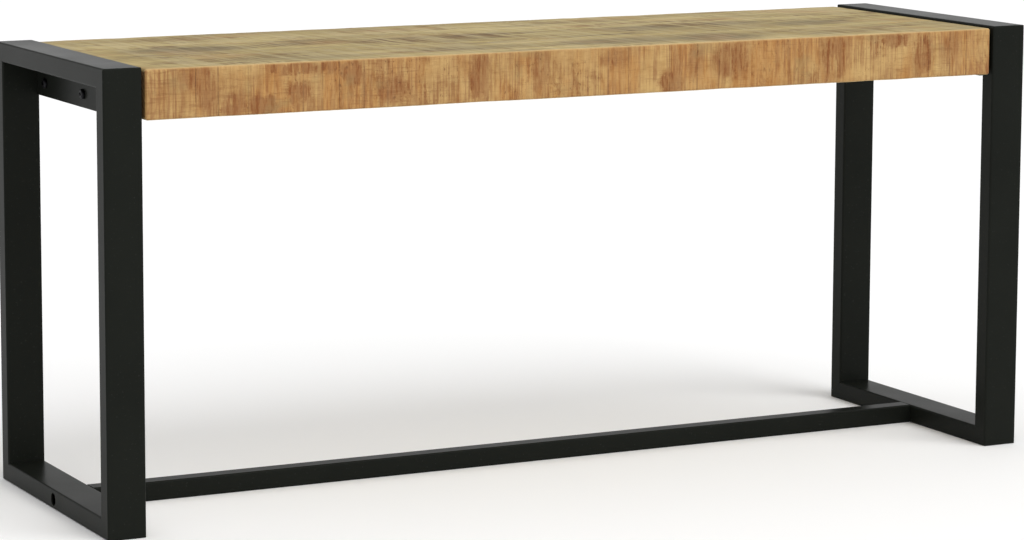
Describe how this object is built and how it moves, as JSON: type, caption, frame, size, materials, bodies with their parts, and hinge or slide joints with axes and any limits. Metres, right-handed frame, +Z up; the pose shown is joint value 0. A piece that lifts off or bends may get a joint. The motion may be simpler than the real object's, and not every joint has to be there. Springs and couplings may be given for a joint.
{
  "type": "entryway bench",
  "caption": "Long low bench: a thick rough-sawn wooden seat set between two closed rectangular black steel loops, with a square stretcher between them at floor level.",
  "frame": {"origin": "on the floor, below the middle of the seat", "axes": "+X along the bench, -Y is the front (the side the pictured face shows), +Z up"},
  "size_m": [1.06, 0.31, 0.46],
  "materials": {
    "frame_black": "satin powder coat",
    "mango_wood": "rough sawn, thin clear oil",
    "black_screws": "black oxide",
    "zinc_washers": "zinc plated",
    "brass_inserts": "plain"
  },
  "bodies": {
    "root": {"seat_board_front": "mango_wood", "seat_board_middle": "mango_wood", "seat_board_rear": "mango_wood", "stretcher": "frame_black", "left_front_leg": "frame_black", "left_rear_leg": "frame_black", "left_top_rail": "frame_black", "left_bottom_rail": "frame_black", "left_seat_plate": "frame_black", "left_stretcher_plug": "frame_black", "left_seat_screws": "black_screws", "left_stretcher_screw": "black_screws", "left_stretcher_washer": "zinc_washers", "left_seat_inserts": "brass_inserts", "right_front_leg": "frame_black", "right_rear_leg": "frame_black", "right_top_rail": "frame_black", "right_bottom_rail": "frame_black", "right_seat_plate": "frame_black", "right_stretcher_plug": "frame_black", "right_seat_screws": "black_screws", "right_stretcher_screw": "black_screws", "right_stretcher_washer": "zinc_washers", "right_seat_inserts": "brass_inserts"}
  },
  "joints": []
}
